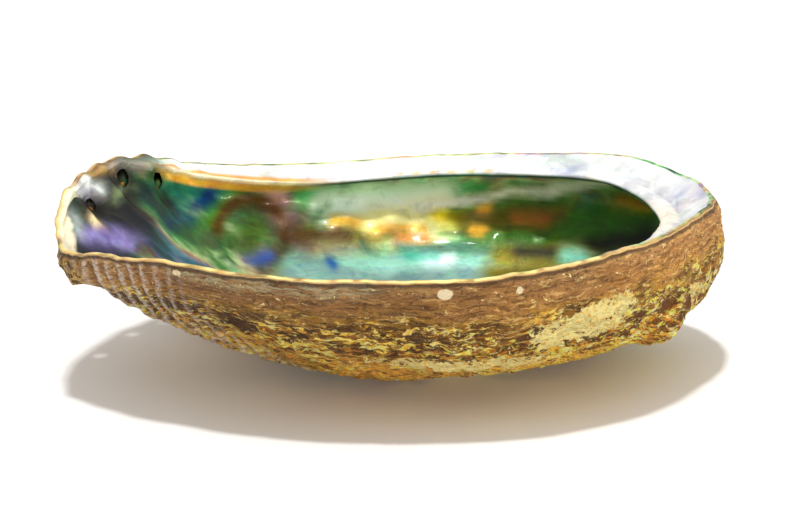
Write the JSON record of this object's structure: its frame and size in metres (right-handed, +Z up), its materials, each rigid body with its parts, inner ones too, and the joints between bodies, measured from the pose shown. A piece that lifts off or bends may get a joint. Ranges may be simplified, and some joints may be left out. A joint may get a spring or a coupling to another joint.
{
  "type": "abalone shell",
  "caption": "Whole empty ear-shaped sea shell lying on its back as a shallow bowl: pearly hollow with an inner shelf, a row of holes near one margin and a crusted outside.",
  "frame": {"origin": "middle of the bounding box, on the ground the shell rests on", "axes": "+Z up out of the hollow; -X towards the growing lip and +X towards the spire end, along the length; +Y towards the row of holes"},
  "size_m": [0.1496, 0.1102, 0.0435],
  "materials": {
    "shell": "rough crusted brown and ochre outside, glossy green and pink nacre inside"
  },
  "bodies": {
    "root": {"abalone_shell": "shell"}
  },
  "joints": []
}
